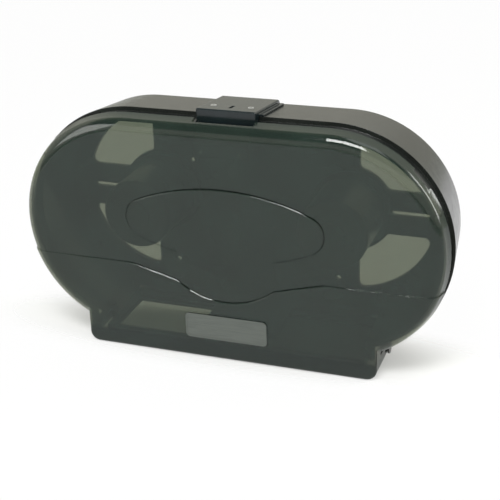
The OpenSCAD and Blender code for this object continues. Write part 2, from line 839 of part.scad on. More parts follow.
// Outline of the lock housing from the side, moved in from the roof and the ends by a wall's thickness
module lock_side(inset) {
    rear = lock_rear + inset;
    front = lock_front - inset;
    polygon([
        [rear, housing_r(rear) + seat_gap],
        [rear, housing_r(rear) + lock_h - inset - lock_bevel_rear],
        [rear + lock_bevel_rear, housing_r(rear + lock_bevel_rear) + lock_h - inset],
        [front - lock_bevel, housing_r(front - lock_bevel) + lock_h - inset],
        [front, housing_r(front) + lock_h - inset - lock_bevel],
        [front, lock_nose_y + inset],
        [housing_depth + seat_gap + inset, lock_nose_y + inset],
        [housing_depth + seat_gap + inset, housing_front_r + seat_gap],
        [housing_depth + seat_gap - cut, housing_front_r + seat_gap]
    ]);
}

// The lock housing's outside, with its long upper edges and its front corners bevelled
module lock_outside() {
    half = lock_w / 2;
    intersection() {
        side_profile(lock_w) lock_side(0);
        translate([0, housing_r(0) + lock_h, 0])
            rotate([-atan(slope), 0, 0])
                linear_extrude(far, center = true)
                    polygon([
                        [-half, -far],
                        [half, -far],
                        [half, -lock_bevel],
                        [half - lock_bevel, 0],
                        [-half + lock_bevel, 0],
                        [-half, -lock_bevel]
                    ]);
        translate([0, far / 2, 0]) rotate([90, 0, 0])
            linear_extrude(far, center = true)
                polygon([
                    [-half, 0],
                    [half, 0],
                    [half, lock_front - lock_bevel],
                    [half - lock_bevel, lock_front],
                    [-half + lock_bevel, lock_front],
                    [-half, lock_front - lock_bevel]
                ]);
    }
}

// Lock housing: runs over the top of the housing, its nose filling the gap in the lip
module lock_housing() {
    color([0.1, 0.13, 0.14]) stand()
        difference() {
            union() {
                difference() {
                    union() {
                        lock_outside();
                        // Step along both sides of the foot
                        side_profile(lock_w + 2 * lock_foot_w)
                            polygon([
                                [lock_rear, housing_r(lock_rear) + seat_gap],
                                [lock_rear, housing_r(lock_rear) + lock_foot_h],
                                [housing_depth, housing_front_r + lock_foot_h],
                                [housing_depth, housing_front_r + seat_gap]
                            ]);
                    }
                    side_profile(lock_inner_w) lock_side(lock_wall);
                    // Open underneath, over the housing
                    side_profile(lock_inner_w)
                        polygon([
                            [lock_rear + lock_wall, 0],
                            [lock_rear + lock_wall, housing_r(lock_rear + lock_wall) + 1],
                            [housing_depth, housing_front_r + 1],
                            [housing_depth, 0]
                        ]);
                }
                // Pillars for the lock's screws
                for (side = [-1, 1])
                    upright(side * lock_screw_x, lock_screw_depth, small_head_r + 1,
                            housing_r(lock_screw_depth + 5) + seat_gap, housing_r(lock_screw_depth) + lock_h - 1);
            }
            // Passage for the bolt's arm, slot for its blade, and key slot
            block([-latch_window_w / 2, lock_nose_y + lock_wall, housing_depth - cut],
                  [latch_window_w / 2, housing_front_r + 1, housing_depth + lock_wall + cut]);
            block([-bolt_w / 2 - move_gap, 0, bolt_front - bolt_t - move_gap],
                  [bolt_w / 2 + move_gap, lock_nose_y + lock_wall + cut, bolt_front + move_gap]);
            block([-key_slot_w / 2, housing_rear_r, key_slot_depth - key_slot_length / 2],
                  [key_slot_w / 2, far, key_slot_depth + key_slot_length / 2]);
            for (side = [-1, 1]) {
                lock_screw_bore(side, small_screw_r + hold_gap);
                upright(side * lock_screw_x, lock_screw_depth, small_head_r + hold_gap, lock_head_y, far);
            }
        }
}

// Screws that hold the lock housing down on the housing
module lock_screws() {
    color([0.75, 0.76, 0.76]) stand()
        for (side = [-1, 1])
            translate([side * lock_screw_x, lock_head_y + seat_gap, lock_screw_depth])
                rotate([-90, 0, 0])
                    screw(small_screw_r, lock_head_y - housing_r(lock_screw_depth) + housing_wall,
                          small_head_r, small_head_t);
}

// Latch bolt: a sloping arm under the key slot and a blade that drops through the catch
module latch_bolt() {
    color([0.62, 0.63, 0.64]) stand()
        difference() {
            side_profile(bolt_w)
                polygon([
                    [bolt_rear, bolt_top_y(bolt_rear)],
                    [bolt_front, bolt_top_y(bolt_front)],
                    [bolt_front, lock_nose_y + 0.6],
                    [bolt_front - bolt_t, lock_nose_y + 0.6],
                    [bolt_front - bolt_t, bolt_top_y(bolt_front - bolt_t) - bolt_arm_t],
                    [bolt_rear, bolt_top_y(bolt_rear) - bolt_arm_t]
                ]);
            // Socket for the key
            block([-key_slot_w / 2, 0, key_slot_depth - key_slot_w / 2],
                  [key_slot_w / 2, far, key_slot_depth + key_slot_w / 2]);
        }
}

// Tray inside the housing's top that closes the latch window under the bolt
module latch_guide() {
    color([0.15, 0.16, 0.16]) stand()
        intersection() {
            difference() {
                block([-latch_window_w / 2 - 4, guide_y - 1.6, latch_window_rear - 3],
                      [latch_window_w / 2 + 4, far, housing_depth - lip_shelf - seat_gap]);
                block([-latch_window_w / 2, guide_y, latch_window_rear],
                      [latch_window_w / 2, far, far]);
            }
            stadium_sweep([
                [0, 0],
                [housing_r(0) - housing_wall - seat_gap, 0],
                [housing_r(housing_depth) - housing_wall - seat_gap, housing_depth],
                [0, housing_depth]
            ]);
        }
}

// Bowed leaf in the lock's nose that holds the bolt where it is put
module detent_spring() {
    leaf = 0.4;
    back = lock_front - lock_wall - seat_gap;
    reach = back - bolt_front - move_gap;
    low = lock_nose_y + lock_wall + 1;
    high = low + leaf_length;
    middle = leaf_length / 2;
    color([0.75, 0.76, 0.77]) stand()
        side_profile(bolt_w / 2)
            polygon([
                [back, low],
                [back - leaf, low],
                [back - reach, low + middle - 1],
                [back - reach, low + middle + 1],
                [back - leaf, high],
                [back, high],
                [back - reach + leaf, low + middle + 1],
                [back - reach + leaf, low + middle - 1]
            ]);
}

// Everything below the edge of the lower panel, moved down by drop
module panel_region(drop) {
    translate([0, -drop, rim_start - inner_lead])
        linear_extrude(face_depth)
            difference() {
                polygon([
                    [-far, -far],
                    [far, -far],
                    [far, wave_level_y],
                    [wave_level_x, wave_level_y],
                    [wave_arc_x, wave_arc_y],
                    [-wave_arc_x, wave_arc_y],
                    [-wave_level_x, wave_level_y],
                    [-far, wave_level_y]
                ]);
                translate([0, wave_low_y + wave_r]) circle(wave_r, $fn = 180);
            }
}

// Oval made of two long arcs and two round ends, tangent to each other
module oval_outline() {
    tip = oval_half_w - oval_end_r;
    side_r = (tip * tip + oval_half_h * oval_half_h - oval_end_r * oval_end_r) / (2 * (oval_half_h - oval_end_r));
    meet_x = tip + oval_end_r * tip / (side_r - oval_end_r);
    intersection() {
        oval_lens(side_r);
        square([2 * meet_x, 2 * oval_half_h + 2], center = true);
    }
    for (x = [-1, 1]) translate([x * tip, 0]) circle(oval_end_r);
}

// The lens between two equal arcs above and below the oval's middle
module oval_lens(side_r) {
    intersection() {
        translate([0, oval_half_h - side_r]) circle(side_r, $fn = 360);
        translate([0, side_r - oval_half_h]) circle(side_r, $fn = 360);
    }
}

// The raised oval: its crowned face is proud at the top and sinks into the face at its foot
module raised_oval() {
    reach = 2 * oval_half_h;
    crown_r = reach * reach / (2 * oval_fall);
    intersection() {
        translate([0, oval_y, face_depth - 1]) linear_extrude(oval_step + 2) oval_outline();
        translate([-far, oval_y + oval_half_h, face_depth + oval_step - crown_r])
            rotate([0, 90, 0]) cylinder(r = crown_r, h = 2 * far, $fn = 1440);
    }
}

// The throat's outside: a plate with round lower corners and a rounded front edge
module throat_outer() {
    top_y = throat_top_y;
    corner_x = throat_half - throat_corner_r;
    corner_y = throat_y + throat_corner_r;
    section = concat(
        [[0, hinge_depth - cheek_r - cut], [throat_corner_r, hinge_depth - cheek_r - cut]],
        arc(throat_corner_r - throat_edge_r, panel_depth - throat_edge_r, throat_edge_r, throat_edge_r, 0, 90, 6),
        [[0, panel_depth]]
    );
    block([-corner_x, corner_y, hinge_depth - cheek_r - cut], [corner_x, top_y, panel_depth]);
    for (side = [0, 1])
        mirror([side, 0, 0]) {
            translate([corner_x, corner_y, 0])
                rotate([0, 0, -90]) rotate_extrude(angle = 90) polygon(section);
            translate([corner_x, top_y, 0])
                rotate([90, 0, 0]) linear_extrude(top_y - corner_y) polygon(section);
        }
    translate([0, corner_y, 0])
        mirror([0, 1, 0])
            rotate([90, 0, 90]) linear_extrude(2 * corner_x, center = true) polygon(section);
}

// The throat and its two cheeks, which run back under the housing to the hinge
module throat_trimmed() {
    intersection() {
        throat_outer();
        side_profile(2 * throat_w) {
            translate([hinge_depth, hinge_y]) circle(cheek_r);
            polygon([
                [hinge_depth, -far],
                [panel_depth + cut, -far],
                [panel_depth + cut, 0],
                [rim_start, 0],
                [rim_start, cheek_top_y],
                [hinge_depth, cheek_top_y]
            ]);
        }
    }
}

// Cover: see-through shell with rim, shoulder, raised oval, stepped lower panel, throat and cheeks
module cover_shell() {
    color([0.3, 0.33, 0.3, 0.6]) stand()
        difference() {
            union() {
                stadium_sweep(cover_section(0, rim_start));
                intersection() {
                    stadium_sweep(cover_section(-panel_step, rim_start));
                    panel_region(0);
                }
                raised_oval();
                throat_trimmed();
            }
            stadium_sweep(cover_section(cover_wall, inner_start));
            intersection() {
                stadium_sweep(cover_section(cover_wall - panel_step, inner_start));
                panel_region(panel_step);
            }
            block([-cheek_in, -far, hinge_depth - 2 * cheek_r],
                  [cheek_in, throat_top_y, panel_depth - cover_wall]);
            // Notches in the rim over the lock and for the fingers
            block([-lock_notch_w / 2, 0, rim_start - cut],
                  [lock_notch_w / 2, far, rim_start + lock_notch_length]);
            for (side = [0, 1])
                mirror([side, 0, 0])
                    translate([end_x, 0, 0])
                        rotate([0, 0, finger_notch_angle])
                            block([rim_r - finger_notch_w, -finger_notch_w / 2, rim_start - cut],
                                  [rim_r + finger_notch_w, finger_notch_w / 2, rim_start + finger_notch_length]);
            for (side = [-1, 1]) {
                hinge_bore(side, pin_r + run_gap);
                boss(side * catch_screw_spacing / 2, catch_screw_y, small_screw_r + hold_gap,
                     face_depth - 2 * cover_wall, face_depth - 0.6);
            }
        }
}

// Catch: a bent plate inside the cover's top, with a slot for the latch bolt's blade
module cover_catch() {
    face_in = face_depth - cover_wall - seat_gap;
    bend_y = catch_flange_y + catch_flange_h;
    color([0.12, 0.13, 0.13]) stand()
        difference() {
            side_profile(catch_w)
                polygon([
                    [face_in, catch_flange_y],
                    [face_in, bend_y],
                    [catch_front, catch_top_y],
                    [catch_rear, catch_top_y],
                    [catch_rear, catch_top_y - catch_t],
                    [catch_front - 1, catch_top_y - catch_t],
                    [face_in - catch_t, bend_y - 1],
                    [face_in - catch_t, catch_flange_y]
                ]);
            block([-bolt_w / 2 - 0.5, 0, bolt_front - bolt_t - 0.5], [bolt_w / 2 + 0.5, far, bolt_front + 0.5]);
            for (side = [-1, 1])
                boss(side * catch_screw_spacing / 2, catch_screw_y, small_screw_r + hold_gap, 0, far);
        }
}

// Screws through the catch into the cover
module catch_screws() {
    color([0.7, 0.71, 0.72]) stand()
        for (side = [-1, 1])
            translate([side * catch_screw_spacing / 2, catch_screw_y,
                       face_depth - cover_wall - 2 * seat_gap - catch_t])
                mirror([0, 0, 1]) screw(small_screw_r, catch_t + cover_wall - 1, small_head_r, small_head_t);
}

// Hinge pin: through a cheek of the cover into an ear of the housing
module hinge_pin(side) {
    color([0.05, 0.05, 0.05]) stand()
        mirror([side < 0 ? 1 : 0, 0, 0]) {
            cross_bar(pin_r, ear_in - 1, throat_half + move_gap + pin_head_t / 2, hinge_y, hinge_depth);
            cross_bar(pin_head_r, throat_half + move_gap, throat_half + move_gap + pin_head_t,
                      hinge_y, hinge_depth);
        }
}

module hinge_pin_left() {
    hinge_pin(-1);
}

module hinge_pin_right() {
    hinge_pin(1);
}

// Bare label plate with a thin raised border
module label_plate() {
    border = 1.6;
    color([0.78, 0.79, 0.77]) stand()
        translate([0, label_y, panel_depth])
            difference() {
                linear_extrude(label_t) round_rect(label_w, label_h, label_corner_r);
                translate([0, 0, label_t - 0.3])
                    linear_extrude(1)
                        round_rect(label_w - 2 * border, label_h - 2 * border, label_corner_r - border);
            }
}

rear_housing();
exit_frame();
exit_rail();
frame_screws();
tear_bar_left();
tear_bar_right();
selector_shutter();
spindle_post_left();
spindle_post_right();
post_screws();
core_hub_left();
core_hub_right();
hub_cap_left();
hub_cap_right();
spindle_screws();
lock_housing();
lock_screws();
latch_bolt();
latch_guide();
detent_spring();
cover_shell();
cover_catch();
catch_screws();
hinge_pin_left();
hinge_pin_right();
label_plate();
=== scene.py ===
"""Looks of a twin jumbo toilet roll dispenser: finishes, polished pieces, studio light and camera."""

import math

import bmesh
import bpy
from mathutils import Matrix, Vector


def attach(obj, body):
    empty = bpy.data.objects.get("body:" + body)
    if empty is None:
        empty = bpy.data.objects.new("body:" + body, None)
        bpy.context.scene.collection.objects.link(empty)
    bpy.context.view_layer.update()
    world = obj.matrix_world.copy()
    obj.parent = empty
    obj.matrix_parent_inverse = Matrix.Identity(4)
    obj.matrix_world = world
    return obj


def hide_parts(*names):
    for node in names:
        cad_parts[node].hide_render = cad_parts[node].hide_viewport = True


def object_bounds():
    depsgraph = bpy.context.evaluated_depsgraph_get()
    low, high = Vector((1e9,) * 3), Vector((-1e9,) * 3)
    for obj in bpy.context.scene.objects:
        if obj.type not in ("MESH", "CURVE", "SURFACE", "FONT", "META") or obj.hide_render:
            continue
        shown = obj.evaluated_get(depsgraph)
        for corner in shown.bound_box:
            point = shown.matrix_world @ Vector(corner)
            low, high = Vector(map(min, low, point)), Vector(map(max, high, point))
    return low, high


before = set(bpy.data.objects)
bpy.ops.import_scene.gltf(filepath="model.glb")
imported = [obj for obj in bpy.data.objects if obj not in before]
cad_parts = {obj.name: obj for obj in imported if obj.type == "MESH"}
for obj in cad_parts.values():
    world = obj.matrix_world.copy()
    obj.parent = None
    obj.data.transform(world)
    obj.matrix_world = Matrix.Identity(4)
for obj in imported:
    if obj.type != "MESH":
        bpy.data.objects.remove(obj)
CAD_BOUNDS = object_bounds()
CAD_LOW, CAD_HIGH = CAD_BOUNDS

bl_info = {
    "name": "Jumbo roll dispenser looks",
    "version": (1, 0, 0),
    "blender": (4, 5, 0),
    "location": "3D View > Sidebar > Dispenser",
    "description": "Dresses a twin jumbo roll dispenser and sets its stage",
    "category": "Object",
}


# ---------------------------------------------------------------------------------- settings


def colour(label, hint, default):
    """A linear colour that a user may change."""
    return bpy.props.FloatVectorProperty(
        name=label, description=hint, default=default, size=3, min=0.0, max=1.0, subtype="COLOR"
    )


def share(label, hint, default):
    """A share from nothing to all."""
    return bpy.props.FloatProperty(
        name=label, description=hint, default=default, min=0.0, max=1.0, subtype="FACTOR"
    )


def length(label, hint, default):
    """A length in metres."""
    return bpy.props.FloatProperty(name=label, description=hint, default=default, min=0.0, unit="LENGTH")


def angle(label, hint, default):
    """An angle in radians."""
    return bpy.props.FloatProperty(name=label, description=hint, default=default, subtype="ANGLE")


class SmokeSettings(bpy.types.PropertyGroup):
    """The see-through cover."""

    tint: colour("Tint", "Colour of the smoke plastic", (0.015, 0.030, 0.024))
    passed: colour("Passed light", "Colour of the light that one wall lets through", (0.60, 0.62, 0.52))
    cover_up: share("Cover-up", "Share of what lies behind that one wall hides", 0.46)
    # painted shade: share of light and gloss that the steps keep, and of light that the lower lip keeps
    step_shade: share("Step shade", "Share of the light that leaves the steps' edges", 0.25)
    # height of the painted shade along the cover's lower edge
    lip: length("Lip", "Height of the darker lip along the lower edge", 0.020)
    crest: length("Crest", "Chamfer along the top of a step", 0.0009)
    foot: length("Foot", "Width of the shaded band along the foot of a step", 0.0008)
    edge: length("Edge", "Rounding of the outer edges", 0.0004)
    roughness: share("Roughness", "Roughness of the polished face", 0.07)
    ripple: length("Ripple", "Size of the slow waves in the moulded face", 0.045)


class PlasticSettings(bpy.types.PropertyGroup):
    """The opaque plastics."""

    gloss_black: colour("Gloss black", "Colour of the housing", (0.012, 0.014, 0.013))
    satin_black: colour("Satin black", "Colour of the inner pieces", (0.014, 0.016, 0.015))
    lock_black: colour("Lock black", "Colour of the lock housing", (0.005, 0.010, 0.012))
    pin_black: colour("Pin black", "Colour of the hinge pins", (0.006, 0.006, 0.006))
    shutter_grey: colour("Shutter grey", "Colour of the shutter", (0.05, 0.053, 0.05))
    grain: length("Grain", "Size of the grain of the inner pieces", 0.0008)
    waves: length("Waves", "Size of the faint waves in the housing and the lock", 0.02)
    housing_edge: length("Housing edge", "Rounding of the housing's edges", 0.0003)
    lock_edge: length("Lock edge", "Rounding of the lock housing's edges", 0.0006)


class MetalSettings(bpy.types.PropertyGroup):
    """Screws, blades and the label plate."""

    steel: colour("Steel", "Colour of screws and strips", (0.56, 0.57, 0.58))
    label: colour("Label", "Colour of the label plate", (0.15, 0.165, 0.15))


class StageSettings(bpy.types.PropertyGroup):
    """Camera and floor."""

    azimuth: angle("Azimuth", "Camera's turn to the right", 0.353)
    elevation: angle("Elevation", "Camera's height angle", 0.417)
    roll: angle("Roll", "Camera's roll", -0.032)
    distance: length("Distance", "Camera's distance from its target", 1.3588)
    target: bpy.props.FloatVectorProperty(
        name="Target",
        description="Point that the camera looks at",
        default=(0.01118, -0.060, -0.0345),
        subtype="XYZ",
    )
    lens: bpy.props.FloatProperty(
        name="Lens", description="Focal length in millimetres", default=83.3, unit="CAMERA"
    )
    floor: colour("Floor", "Colour of the floor", (0.86, 0.86, 0.85))
    white: share("Whiteness", "How much of the floor shows as plain white", 0.96)


# ---------------------------------------------------------------------------------- node helpers

NOISE_SPAN = (0.3, 0.7)  # most of a noise texture's values lie in it


def new_node(owner, kind, sockets=None, **settings):
    """A node of a material or the world, with its settings and the values on its sockets."""
    node = owner.node_tree.nodes.new(kind)
    for name, value in settings.items():
        setattr(node, name, value)
    for name, value in (sockets or {}).items():
        node.inputs[name].default_value = value
    return node


def link(owner, output, socket):
    """Joins an output to a socket."""
    owner.node_tree.links.new(output, socket)


def noise(mat, where, size, detail=3.0, rough=0.5, stretch=(1, 1, 1)):
    """Noise whose features are about size metres across."""
    mapping = new_node(mat, "ShaderNodeMapping", {"Scale": stretch})
    sockets = {"Scale": 1.0 / size, "Detail": detail, "Roughness": rough}
    texture = new_node(mat, "ShaderNodeTexNoise", sockets)
    link(mat, where, mapping.inputs["Vector"])
    link(mat, mapping.outputs["Vector"], texture.inputs["Vector"])
    return texture.outputs["Fac"]


def ramp(mat, value, low, high):
    """A noise turned into a colour between two."""
    node = new_node(mat, "ShaderNodeValToRGB")
    first, last = node.color_ramp.elements
    first.position, last.position = NOISE_SPAN
    first.color, last.color = (*low, 1.0), (*high, 1.0)
    link(mat, value, node.inputs["Fac"])
    return node.outputs["Color"]


def mapped(owner, value, span, low=0.0, high=1.0, curve="LINEAR"):
    """A value whose span, which may run downwards, is mapped to low..high."""
    ends = {"From Min": span[0], "From Max": span[1], "To Min": low, "To Max": high}
    node = new_node(owner, "ShaderNodeMapRange", ends, interpolation_type=curve)
    link(owner, value, node.inputs["Value"])
    return node.outputs["Result"]


def maths(owner, operation, one, other):
    """Two values joined by a Math node."""
    node = new_node(owner, "ShaderNodeMath", operation=operation)
    link(owner, one, node.inputs[0])
    link(owner, other, node.inputs[1])
    return node.outputs[0]


def distance_of(mat, point):
    """How far a point lies from the origin."""
    node = new_node(mat, "ShaderNodeVectorMath", operation="LENGTH")
    link(mat, point, node.inputs[0])
    return node.outputs["Value"]


def height_of(owner, point):
    """A point's or a direction's Z."""
    node = new_node(owner, "ShaderNodeSeparateXYZ")
    link(owner, point, node.inputs["Vector"])
    return node.outputs["Z"]


def blended(owner, by, first, second):
    """Two shaders mixed by a value, of which 0 is all the first."""
    node = new_node(owner, "ShaderNodeMixShader")
    link(owner, by, node.inputs["Fac"])
    link(owner, first, node.inputs[1])
    link(owner, second, node.inputs[2])
    return node.outputs["Shader"]


def bumped(mat, height, distance, strength, under=None):
    """A normal bent by a height, on top of another one."""
    node = new_node(mat, "ShaderNodeBump", {"Distance": distance, "Strength": strength})
    link(mat, height, node.inputs["Height"])
    if under:
        link(mat, under, node.inputs["Normal"])
    return node.outputs["Normal"]


def scaled(rgb, by):
    """A colour made lighter or darker."""
    return tuple(min(1.0, part * by) for part in rgb)


# ---------------------------------------------------------------------------------- finishes

STEP = "step"  # face attribute that marks the cover's steps for painted shade
PLASTIC_IOR = 1.5
LIP_FADE = 0.004  # metres over which the painted shade along the cover's lower lip fades, to each side of its top


def new_finish(name):
    """A node material with its shader and the object's own coordinates."""
    mat = bpy.data.materials.new(name)
    mat.use_nodes = True
    place = new_node(mat, "ShaderNodeTexCoord")
    return mat, mat.node_tree.nodes["Principled BSDF"], place.outputs["Object"]


def moulded(name, rgb, rough, grain, grain_depth):
    """Moulded plastic: faint tone drift, grain, and handling marks in the roughness."""
    mat, shader, where = new_finish(name)
    drift = noise(mat, where, size=0.03, detail=4.0)
    link(mat, ramp(mat, drift, scaled(rgb, 0.8), scaled(rgb, 1.25)), shader.inputs["Base Color"])
    marks = noise(mat, where, size=0.012, detail=5.0, rough=0.6)
    link(mat, mapped(mat, marks, NOISE_SPAN, rough * 0.8, rough * 1.3), shader.inputs["Roughness"])
    sink = noise(mat, where, size=0.02, detail=0.0)
    grains = noise(mat, where, size=grain, detail=1.0)
    waves = bumped(mat, sink, distance=0.0002, strength=0.08)
    link(mat, bumped(mat, grains, grain_depth, strength=0.3, under=waves), shader.inputs["Normal"])
    shader.inputs["IOR"].default_value = PLASTIC_IOR
    return mat


def smoke(settings):
    """See-through smoke plastic: polished, with slow ripples, a little haze and painted shade along its
    steps and lower lip.
    """
    mat, shader, where = new_finish("smoke_plastic")
    tint = tuple(settings.tint)
    drift = noise(mat, where, size=0.06)
    link(mat, ramp(mat, drift, scaled(tint, 0.85), scaled(tint, 1.2)), shader.inputs["Base Color"])
    haze = noise(mat, where, size=0.03, detail=2.0)
    rough = mapped(mat, haze, NOISE_SPAN, settings.roughness * 0.8, settings.roughness * 1.3)
    link(mat, rough, shader.inputs["Roughness"])
    ripples = noise(mat, where, size=settings.ripple, detail=0.0)
    link(mat, bumped(mat, ripples, distance=0.0004, strength=0.1), shader.inputs["Normal"])
    shader.inputs["IOR"].default_value = PLASTIC_IOR
    shader.inputs["Coat Weight"].default_value = 1.0
    shader.inputs["Coat Roughness"].default_value = 0.03

    # Painted shade: the steps' walls and a band along their feet let darker light through and mirror less,
    # for the shade in the steps; the lower lip lets darker light through, for the shade under the
    # dispenser.
    step = new_node(mat, "ShaderNodeAttribute", attribute_name=STEP).outputs["Fac"]
    lip_top = CAD_LOW[2] + settings.lip
    lip = mapped(mat, height_of(mat, where), (lip_top + LIP_FADE, lip_top - LIP_FADE), curve="SMOOTHSTEP")
    passed = new_node(
        mat,
        "ShaderNodeMix",
        {"A": (*settings.passed, 1.0), "B": (*scaled(settings.passed, settings.step_shade), 1.0)},
        data_type="RGBA",
    )
    link(mat, maths(mat, "MAXIMUM", step, lip), passed.inputs["Factor"])
    clear = new_node(mat, "ShaderNodeBsdfTransparent")
    link(mat, passed.outputs["Result"], clear.inputs["Color"])

    hidden = mapped(mat, step, (0.0, 1.0), settings.cover_up, settings.cover_up * settings.step_shade)
    surface = blended(mat, hidden, clear.outputs["BSDF"], shader.outputs["BSDF"])
    link(mat, surface, mat.node_tree.nodes["Material Output"].inputs["Surface"])
    mat.surface_render_method = "BLENDED"
    return mat


def steel(name, rgb, stretch=(1, 1, 1), rough=0.3):
    """Metal with fine brushing, drawn out along the axis whose stretch is low."""
    mat, shader, where = new_finish(name)
    lines = noise(mat, where, size=0.0012, rough=0.6, stretch=stretch)
    link(mat, ramp(mat, lines, scaled(rgb, 0.85), scaled(rgb, 1.1)), shader.inputs["Base Color"])
    link(mat, mapped(mat, lines, NOISE_SPAN, rough * 0.8, rough * 1.4), shader.inputs["Roughness"])
    link(mat, bumped(mat, lines, distance=0.00004, strength=0.3), shader.inputs["Normal"])
    shader.inputs["Metallic"].default_value = 1.0
    return mat


def dress(names, mat):
    """Gives CAD nodes a finish."""
    for name in names:
        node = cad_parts[name]
        if not node.material_slots:
            node.data.materials.append(mat)
        for place in node.material_slots:
            place.material = mat


# ---------------------------------------------------------------------------------- polished pieces

FRONT_DEPTH = 0.006  # metres behind the foremost point within which the cover's front face lies
STEP_HEIGHT = 0.004  # metres that no step in the front face is higher than
LOW_STEP = 0.002  # metres below which a step is rounded apart or left sharp
WALL_TILT = 0.5  # share of a wall's normal that may point forwards
MERGE = 2e-6  # metres within which corners are joined
FLAT = 0.004  # radians below which faces are joined as one
CREASE = 0.5  # radians from which an edge is a crease
CREASE_ROUNDED = 0.7  # the same once the edges are rounded
CREST_CREASE = 1.0  # radians from which an edge is a step's crest
CREST_ROOM = 1.1  # chamfers that a step is high at least where it has one
FACES_FRONT = -0.99999  # Y of a normal up to which a face looks straight forwards
LARGE_FACE = 0.001  # square metres from which a flat face is the cover's own and not a step's
ONE_PLANE = 0.0001  # metres within which flat faces lie in one plane


def is_sharp(edge, least):
    """Whether the faces at an edge meet at least at an angle."""
    return len(edge.link_faces) != 2 or edge.calc_face_angle(0.0) >= least


def reach_y(face):
    """How far a face runs from front to back."""
    depths = [vert.co.y for vert in face.verts]
    return max(depths) - min(depths)


def is_wall(face, height):
    """Whether a face is a wall lower than a height in a face that looks forwards."""
    return abs(face.normal.y) < WALL_TILT and reach_y(face) < height


def is_low(edge):
    """Whether an edge belongs to a low step."""
    return any(is_wall(face, LOW_STEP) for face in edge.link_faces)


def in_front(face):
    """Whether a face lies in the cover's front."""
    return face.calc_center_median().y < CAD_LOW[1] + FRONT_DEPTH


def step_walls(work):
    """The low walls of the steps in the front face."""
    return [face for face in work.faces if is_wall(face, STEP_HEIGHT) and in_front(face)]


def rounded(work, edges, radius, segments=3):
    """Bevels edges."""
    bmesh.ops.bevel(
        work,
        geom=list(edges),
        offset=radius,
        offset_type="OFFSET",
        affect="EDGES",
        segments=segments,
        profile=0.5,
        material=-1,
        clamp_overlap=False,
    )


def chamfer_crests(work, crest):
    """Chamfers the crests of the steps in the front face that are high enough for it."""
    crests = {
        edge
        for wall in step_walls(work)
        if reach_y(wall) > CREST_ROOM * crest
        for edge in wall.edges
        if edge.is_convex and is_sharp(edge, CREST_CREASE)
    }
    rounded(work, crests, crest, segments=1)
    work.normal_update()


def shade_steps(work, foot):
    """Marks the walls of the steps, and a band along their feet in the large flat face behind them, for
    painted shade.
    """
    mark = work.faces.layers.float.new(STEP)
    flat = [face for face in work.faces if face.normal.y < FACES_FRONT and in_front(face)]
    back = max(face.calc_center_median().y for face in flat if face.calc_area() > LARGE_FACE)
    bands = bmesh.ops.inset_region(
        work,
        faces=[face for face in flat if face.calc_center_median().y > back - ONE_PLANE],
        thickness=foot,
        depth=0,
        use_boundary=True,
        use_even_offset=True,
    )
    walls = step_walls(work)
    beside = {other for wall in walls for edge in wall.edges for other in edge.link_faces}
    for face in {*beside.intersection(bands["faces"]), *walls}:
        face[mark] = 1.0


def polished_copy(name, piece_name, body, mat, edge_round=0.0, shape=None):
    """A copy of a CAD node with its triangles joined, its steps shaped and its edges a little rounded."""
    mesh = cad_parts[name].data.copy()
    mesh.name = piece_name
    work = bmesh.new()
    work.from_mesh(mesh)
    bmesh.ops.remove_doubles(work, verts=work.verts, dist=MERGE)
    bmesh.ops.dissolve_degenerate(work, edges=work.edges, dist=MERGE)
    crease = CREASE
    if edge_round:
        bmesh.ops.dissolve_limit(work, angle_limit=FLAT, verts=work.verts, edges=work.edges)
        if shape:
            shape(work)
        edges = [edge for edge in work.edges if is_sharp(edge, CREASE) and not (shape and is_low(edge))]
        rounded(work, edges, edge_round)
        crease = CREASE_ROUNDED
    for face in work.faces:
        face.smooth = True
    for edge in work.edges:
        edge.smooth = not is_sharp(edge, crease)
    work.to_mesh(mesh)
    work.free()
    if "custom_normal" in mesh.attributes:
        mesh.attributes.remove(mesh.attributes["custom_normal"])
    mesh.materials.clear()
    mesh.materials.append(mat)
    piece = bpy.data.objects.new(piece_name, mesh)
    bpy.context.scene.collection.objects.link(piece)
    piece.modifiers.new("even_shading", "WEIGHTED_NORMAL").keep_sharp = True
    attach(piece, body)
    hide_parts(name)


# ---------------------------------------------------------------------------------- operators


class DISPENSER_OT_housing(bpy.types.Operator):
    """Glossy black housing"""

    bl_idname = "dispenser.housing"
    bl_label = "Housing"

    def execute(self, context):
        looks = context.scene.dispenser_plastic
        mat = moulded("housing_gloss", looks.gloss_black, rough=0.2, grain=looks.waves, grain_depth=0.0001)
        edge = looks.housing_edge
        polished_copy("rear_housing", "housing_shell", "housing", mat, edge)
        return {"FINISHED"}


class DISPENSER_OT_inner(bpy.types.Operator):
    """Satin black pieces inside: exit frame, posts, hubs, caps, catch and guide"""

    bl_idname = "dispenser.inner"
    bl_label = "Inner pieces"

    def execute(self, context):
        looks = context.scene.dispenser_plastic
        black, grain = looks.satin_black, looks.grain
        grained = moulded("inner_grain", black, rough=0.42, grain=grain, grain_depth=0.00004)
        dress(["exit_frame", "exit_rail", "cover_catch", "latch_guide"], grained)
        dress(["spindle_post_left", "spindle_post_right"], grained)
        satin = moulded("hub_satin", black, rough=0.3, grain=grain, grain_depth=0.00002)
        for side in ("left", "right"):
            polished_copy(f"core_hub_{side}", f"hub_{side}", f"{side}_hub", satin)
        dress(["hub_cap_left", "hub_cap_right"], satin)
        shutter = moulded("shutter_satin", looks.shutter_grey, rough=0.38, grain=grain, grain_depth=0.00003)
        dress(["selector_shutter"], shutter)
        pin = moulded("pin_smooth", looks.pin_black, rough=0.25, grain=grain, grain_depth=0.00001)
        dress(["hinge_pin_left", "hinge_pin_right"], pin)
        return {"FINISHED"}


class DISPENSER_OT_lock(bpy.types.Operator):
    """Lock housing"""

    bl_idname = "dispenser.lock"
    bl_label = "Lock"

    def execute(self, context):
        looks = context.scene.dispenser_plastic
        mat = moulded("lock_satin", looks.lock_black, rough=0.17, grain=looks.waves, grain_depth=0.0001)
        polished_copy("lock_housing", "lock_cap", "housing", mat, looks.lock_edge)
        return {"FINISHED"}


